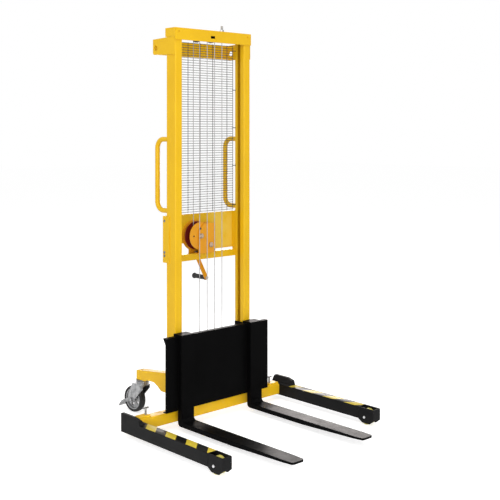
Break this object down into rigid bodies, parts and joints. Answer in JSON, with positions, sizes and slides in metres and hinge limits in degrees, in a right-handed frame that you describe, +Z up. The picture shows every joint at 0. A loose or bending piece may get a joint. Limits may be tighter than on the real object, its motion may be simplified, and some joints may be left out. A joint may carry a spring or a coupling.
{
  "type": "hand winch pallet stacker",
  "caption": "Hand winch stacker with a channel mast, rope-lifted fork carriage, straddle legs that spread, leg rollers and braked rear casters.",
  "frame": {"origin": "middle of the covered floor area, on the floor", "axes": "+Z up, forks towards -Y, +X to the right seen from the front of the forks looking at the mast"},
  "size_m": [1.052, 1.286, 2.01],
  "materials": {
    "mast_yellow": "semi-gloss",
    "black_paint": "semi-gloss",
    "winch_orange": "semi-gloss",
    "drum_red": "satin",
    "guard_grey": "satin",
    "bright_steel": "satin",
    "zinc": "satin",
    "wire_rope": "satin",
    "grip_black": "matte",
    "roller_olive": "matte",
    "hub_grey": "satin",
    "tyre_black": "matte"
  },
  "bodies": {
    "mast": {"base_crossbeam": "mast_yellow", "left_mast_post": "mast_yellow", "right_mast_post": "mast_yellow", "top_crosshead": "mast_yellow", "upper_rear_bracket": "mast_yellow", "winch_bracket": "mast_yellow", "winch_shelf": "mast_yellow", "left_caster_arm": "mast_yellow", "right_caster_arm": "mast_yellow", "left_push_handle": "mast_yellow", "right_push_handle": "mast_yellow", "mesh_guard": "guard_grey", "guard_hooks": "guard_grey", "sheave_hangers": "black_paint", "rope_anchor": "bright_steel", "rope_lead": "wire_rope", "rope_falls": "wire_rope", "winch_frame": "winch_orange", "drum_shaft": "bright_steel", "frame_bolts": "bright_steel", "caster_mounts": "zinc"},
    "drum": {"winch_drum": "drum_red", "drum_gear": "bright_steel", "rope_turns": "wire_rope"},
    "crank": {"pinion_shaft": "bright_steel", "ratchet_wheel": "bright_steel", "crank_arm": "winch_orange"},
    "grip": {"crank_grip": "grip_black"},
    "pawl": {"ratchet_pawl": "bright_steel"},
    "lead_sheave_wheel": {"lead_sheave": "bright_steel"},
    "return_sheave_wheel": {"return_sheave": "bright_steel"},
    "carriage": {"carriage_plate": "black_paint", "carriage_cheeks": "black_paint", "roller_pins": "bright_steel", "sheave_pins": "bright_steel", "rope_carriage_loops": "wire_rope"},
    "carriage_sheave_wheel_left": {"carriage_sheave_left": "bright_steel"},
    "carriage_sheave_wheel_right": {"carriage_sheave_right": "bright_steel"},
    "left_upper_roller": {"left_upper_mast_roller": "bright_steel"},
    "left_lower_roller": {"left_lower_mast_roller": "bright_steel"},
    "left_fork": {"left_fork": "black_paint"},
    "left_leg": {"left_leg": "black_paint"},
    "left_leg_roller": {"left_leg_roller": "roller_olive"},
    "left_lock_screw": {"left_lock_screw": "bright_steel"},
    "left_caster": {"left_caster_fork": "zinc"},
    "left_caster_wheel": {"left_caster_hub": "hub_grey", "left_caster_tyre": "tyre_black"},
    "left_pedal": {"left_brake_pedal": "zinc"},
    "right_upper_roller": {"right_upper_mast_roller": "bright_steel"},
    "right_lower_roller": {"right_lower_mast_roller": "bright_steel"},
    "right_fork": {"right_fork": "black_paint"},
    "right_leg": {"right_leg": "black_paint"},
    "right_leg_roller": {"right_leg_roller": "roller_olive"},
    "right_lock_screw": {"right_lock_screw": "bright_steel"},
    "right_caster": {"right_caster_fork": "zinc"},
    "right_caster_wheel": {"right_caster_hub": "hub_grey", "right_caster_tyre": "tyre_black"},
    "right_pedal": {"right_brake_pedal": "zinc"}
  },
  "joints": [
    {"name": "crank_turn", "type": "hinge", "parent": "mast", "child": "crank", "pos_m": [0.007, 0.21804, 0.88159], "axis": [0, 1, 0], "range_deg": [0, 50850]},
    {"name": "drum_turn", "type": "hinge", "parent": "mast", "child": "drum", "pos_m": [-0.0575, 0.21804, 0.931], "axis": [0, 1, 0], "range_deg": [-12713, 0]},
    {"name": "carriage_lift", "type": "slide", "parent": "mast", "child": "carriage", "axis": [0, 0, 1], "range_m": [0, 1.47], "deforming": ["rope_falls"]},
    {"name": "lead_sheave_turn", "type": "hinge", "parent": "mast", "child": "lead_sheave_wheel", "pos_m": [-0.084, 0.22104, 1.945], "axis": [1, 0, 0], "range_deg": [-13476, 0]},
    {"name": "return_sheave_turn", "type": "hinge", "parent": "mast", "child": "return_sheave_wheel", "pos_m": [-0.009, 0.19604, 1.945], "axis": [0, 1, 0], "range_deg": [-6738, 0]},
    {"name": "left_carriage_sheave_turn", "type": "hinge", "parent": "carriage", "child": "carriage_sheave_wheel_left", "pos_m": [-0.059, 0.19604, 0.33], "axis": [0, 1, 0], "range_deg": [0, 10107]},
    {"name": "right_carriage_sheave_turn", "type": "hinge", "parent": "carriage", "child": "carriage_sheave_wheel_right", "pos_m": [0.041, 0.19604, 0.33], "axis": [0, 1, 0], "range_deg": [0, 3369]},
    {"name": "grip_spin", "type": "hinge", "parent": "crank", "child": "grip", "pos_m": [0.11411, 0.41804, 0.681], "axis": [0, 1, 0], "continuous": true},
    {"name": "pawl_swing", "type": "hinge", "parent": "mast", "child": "pawl", "pos_m": [0.041, 0.28704, 0.91449], "axis": [0, 1, 0], "range_deg": [0, 25]},
    {"name": "left_upper_roller_turn", "type": "hinge", "parent": "carriage", "child": "left_upper_roller", "pos_m": [-0.22975, 0.21804, 0.402], "axis": [1, 0, 0], "range_deg": [0, 2674]},
    {"name": "left_lower_roller_turn", "type": "hinge", "parent": "carriage", "child": "left_lower_roller", "pos_m": [-0.22975, 0.21804, 0.15], "axis": [1, 0, 0], "range_deg": [-2674, 0]},
    {"name": "left_fork_shift", "type": "slide", "parent": "carriage", "child": "left_fork", "axis": [1, 0, 0], "range_m": [-0.069, 0.18]},
    {"name": "left_leg_spread", "type": "slide", "parent": "mast", "child": "left_leg", "axis": [-1, 0, 0], "range_m": [0, 0.15]},
    {"name": "left_leg_roller_spin", "type": "hinge", "parent": "left_leg", "child": "left_leg_roller", "pos_m": [-0.49575, -0.42196, 0.038], "axis": [1, 0, 0], "continuous": true},
    {"name": "left_lock_turn", "type": "hinge", "parent": "mast", "child": "left_lock_screw", "pos_m": [-0.416, 0.20554, 0.11], "axis": [0, 0, 1], "range_deg": [0, 720]},
    {"name": "left_caster_swivel", "type": "hinge", "parent": "mast", "child": "left_caster", "pos_m": [-0.22975, 0.48304, 0.168], "axis": [0, 0, 1], "continuous": true},
    {"name": "left_caster_roll", "type": "hinge", "parent": "left_caster", "child": "left_caster_wheel", "pos_m": [-0.23498, 0.54281, 0.068], "axis": [0.9962, 0.0872, 0], "continuous": true},
    {"name": "left_brake_lift", "type": "hinge", "parent": "left_caster", "child": "left_pedal", "pos_m": [-0.23498, 0.54281, 0.068], "axis": [0.9962, 0.0872, 0], "range_deg": [0, 14]},
    {"name": "right_upper_roller_turn", "type": "hinge", "parent": "carriage", "child": "right_upper_roller", "pos_m": [0.22975, 0.21804, 0.402], "axis": [1, 0, 0], "range_deg": [0, 2674]},
    {"name": "right_lower_roller_turn", "type": "hinge", "parent": "carriage", "child": "right_lower_roller", "pos_m": [0.22975, 0.21804, 0.15], "axis": [1, 0, 0], "range_deg": [-2674, 0]},
    {"name": "right_fork_shift", "type": "slide", "parent": "carriage", "child": "right_fork", "axis": [1, 0, 0], "range_m": [-0.18, 0.069]},
    {"name": "right_leg_spread", "type": "slide", "parent": "mast", "child": "right_leg", "axis": [1, 0, 0], "range_m": [0, 0.15]},
    {"name": "right_leg_roller_spin", "type": "hinge", "parent": "right_leg", "child": "right_leg_roller", "pos_m": [0.49575, -0.42196, 0.038], "axis": [1, 0, 0], "continuous": true},
    {"name": "right_lock_turn", "type": "hinge", "parent": "mast", "child": "right_lock_screw", "pos_m": [0.416, 0.20554, 0.11], "axis": [0, 0, 1], "range_deg": [0, 720]},
    {"name": "right_caster_swivel", "type": "hinge", "parent": "mast", "child": "right_caster", "pos_m": [0.22975, 0.48304, 0.168], "axis": [0, 0, 1], "continuous": true},
    {"name": "right_caster_roll", "type": "hinge", "parent": "right_caster", "child": "right_caster_wheel", "pos_m": [0.23498, 0.54281, 0.068], "axis": [0.9962, -0.0872, 0], "continuous": true},
    {"name": "right_brake_lift", "type": "hinge", "parent": "right_caster", "child": "right_pedal", "pos_m": [0.23498, 0.54281, 0.068], "axis": [0.9962, -0.0872, 0], "range_deg": [0, 14]}
  ],
  "couplings": [
    {"joint": "drum_turn", "follows": "crank_turn", "ratio": -0.25},
    {"joint": "carriage_lift", "follows": "crank_turn", "m_per_rad": 0.0016562},
    {"joint": "lead_sheave_turn", "follows": "crank_turn", "ratio": -0.265},
    {"joint": "return_sheave_turn", "follows": "crank_turn", "ratio": -0.1325},
    {"joint": "left_carriage_sheave_turn", "follows": "crank_turn", "ratio": 0.19875},
    {"joint": "right_carriage_sheave_turn", "follows": "crank_turn", "ratio": 0.06625},
    {"joint": "left_upper_roller_turn", "follows": "crank_turn", "ratio": 0.052579},
    {"joint": "left_lower_roller_turn", "follows": "crank_turn", "ratio": -0.052579},
    {"joint": "right_upper_roller_turn", "follows": "crank_turn", "ratio": 0.052579},
    {"joint": "right_lower_roller_turn", "follows": "crank_turn", "ratio": -0.052579}
  ]
}
